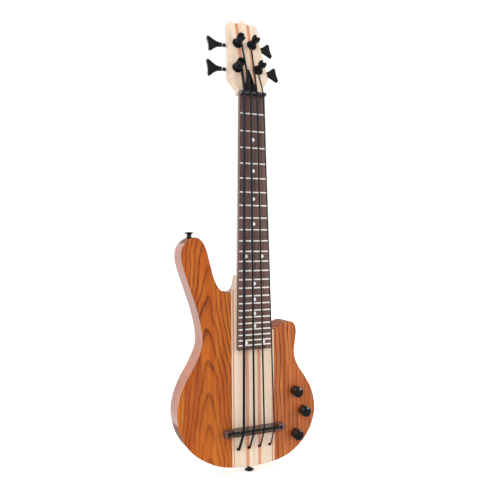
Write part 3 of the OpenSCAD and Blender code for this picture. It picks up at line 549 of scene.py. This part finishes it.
def add_knob(node):
    low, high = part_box(node)
    outer = (high.x - low.x) / 2
    tall = high.y - low.y
    rim = 2.0 * MM
    crown = 0.8 * MM
    foot = 0.4 * MM
    bore_r = 3.02 * MM
    bore_top = 11 * MM
    skirt_r = 6.6 * MM
    skirt_top = 3.5 * MM
    profile = [(0, bore_top), (bore_r, bore_top), (bore_r, skirt_top), (skirt_r, skirt_top), (skirt_r, 0)]
    profile += arc(outer - foot, foot, foot, -90, 0, 4)
    profile += arc(outer - rim, tall - crown - rim, rim, 0, 78, 10)
    edge_r, edge_h = profile[-1]
    for k in range(1, 8):
        inward = 1 - k / 8
        profile.append((edge_r * inward, tall - (tall - edge_h) * inward ** 2))
    profile.append((0, tall))
    centre = Vector(((low.x + high.x) / 2, high.y, (low.z + high.z) / 2))
    put(lathe(profile, centre), node + "_look", BODY_OF[node], MATERIALS["black_gloss"], "black_gloss",
        (node,))


for knob in ("knob_volume", "knob_bass", "knob_treble"):
    add_knob(knob)


def string_at_saddle(name):
    """Middle and radius of a string where it crosses the saddle."""
    top = min(v.co.y for v in NODES[name].data.vertices if v.co.z < 0.1)
    near = [v.co for v in NODES[name].data.vertices if v.co.z < 0.1 and v.co.y < top + 1.5 * MM]
    low, high = min(v.x for v in near), max(v.x for v in near)
    return (low + high) / 2, (high - low) / 2


# The saddle's cross section: shares of its depth along the strings and of its height
SADDLE_SECTION = [(0, 0), (0, 0.42), (0.08, 0.6), (0.25, 0.8), (0.45, 0.95), (0.62, 1), (0.8, 0.985),
                  (0.93, 0.93), (1, 0.84), (1, 0)]
SADDLE_STEPS = 150
SADDLE_END_DROP = 2.5 * MM
SADDLE_END_L = 4 * MM


def add_saddle():
    """Black saddle whose top rises in a rounded hump between the strings."""
    low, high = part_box("bridge_saddle")
    strings = [string_at_saddle("string_" + letter) for letter in "eadg"]
    tall = high.y - low.y
    depth = high.z - low.z
    bm = bmesh.new()
    rings = []
    for k in range(SADDLE_STEPS + 1):
        x = low.x + (high.x - low.x) * k / SADDLE_STEPS
        dip = sum((radius + 0.1 * MM) * math.exp(-((x - middle) / (1.25 * radius + 1.2 * MM)) ** 2)
                  for middle, radius in strings)
        from_end = min(x - low.x, high.x - x)
        rounding = SADDLE_END_DROP * max(0, 1 - from_end / SADDLE_END_L) ** 2
        top = tall - dip - rounding
        rings.append([bm.verts.new((x, high.y - top * up, low.z + depth * along))
                      for along, up in SADDLE_SECTION])
    count = len(rings[0])
    for left, right in zip(rings, rings[1:]):
        for k in range(count):
            j = (k + 1) % count
            bm.faces.new((left[k], left[j], right[j], right[k]))
    bm.faces.new(rings[0])
    bm.faces.new(rings[-1])
    bmesh.ops.recalc_face_normals(bm, faces=bm.faces)
    put(bm, "bridge_saddle_look", "instrument", MATERIALS["black_gloss"], "black_gloss",
        ("bridge_saddle",), 45)


add_saddle()

for node, thing in NODES.items():
    if not thing.hide_render:
        thing.data.materials.clear()
        thing.data.materials.append(MATERIALS[SLOT_OF[node]])


# ---- Floor and light ----

def add_floor():
    size = 40.0
    bm = bmesh.new()
    bmesh.ops.create_grid(bm, x_segments=2, y_segments=2, size=size)
    mesh = bpy.data.meshes.new("floor")
    bm.to_mesh(mesh)
    bm.free()
    floor = bpy.data.objects.new("floor", mesh)
    bpy.context.scene.collection.objects.link(floor)
    floor.location.z = cad_low.z - 0.2 * MM
    floor.visible_glossy = False
    floor.visible_diffuse = False
    s = Shading("floor")
    mesh.materials.append(s.finish(Base_Color=(0.93, 0.93, 0.93), Roughness=0.9, Emission_Color=(1, 1, 1),
                                   Emission_Strength=0.3))


def add_softbox(name, place, aim, size, power):
    lamp = bpy.data.lights.new(name, "AREA")
    lamp.shape = "RECTANGLE"
    lamp.size, lamp.size_y = size
    lamp.energy = power
    box = bpy.data.objects.new(name, lamp)
    bpy.context.scene.collection.objects.link(box)
    box.location = place
    box.rotation_euler = (Vector(aim) - Vector(place)).to_track_quat("-Z", "Y").to_euler()


# Strength of the white sky as the camera sees it, as it lights the scene and in reflections
SKY_SEEN = 1.05
SKY_LIGHT = 1.03
SKY_MIRRORED = 0.25


def add_sky():
    """Even white studio: full white to the camera, softer as light and dim in reflections."""
    world = bpy.data.worlds.new("studio")
    bpy.context.scene.world = world
    world.use_nodes = True
    tree = world.node_tree
    tree.nodes.clear()
    out = tree.nodes.new("ShaderNodeOutputWorld")
    sky = tree.nodes.new("ShaderNodeBackground")
    sky.inputs["Color"].default_value = (1, 1, 1, 1)
    path = tree.nodes.new("ShaderNodeLightPath")
    mirrored = tree.nodes.new("ShaderNodeMapRange")
    mirrored.inputs["To Min"].default_value = SKY_LIGHT
    mirrored.inputs["To Max"].default_value = SKY_MIRRORED
    tree.links.new(path.outputs["Is Glossy Ray"], mirrored.inputs["Value"])
    level = tree.nodes.new("ShaderNodeMapRange")
    level.inputs["To Max"].default_value = SKY_SEEN
    tree.links.new(path.outputs["Is Camera Ray"], level.inputs["Value"])
    tree.links.new(mirrored.outputs[0], level.inputs["To Min"])
    tree.links.new(level.outputs[0], sky.inputs["Strength"])
    tree.links.new(sky.outputs[0], out.inputs[0])


add_floor()
add_sky()
add_softbox("key", (-1.6, -2.2, 1.8), (0, 0, 0.35), (1.6, 1.6), 32)
add_softbox("fill", (2.4, -1.4, 1.2), (0, 0, 0.3), (1.2, 2.0), 26)
add_softbox("side_glow", (-2.6, 2.2, 0.6), (0, 0, 0.3), (7.0, 5.0), 84)
add_softbox("strip", (1.62, -1.97, 0.36), (0.08, 0, 0.08), (0.5, 0.6), 9)
bpy.context.scene.view_settings.view_transform = "Standard"
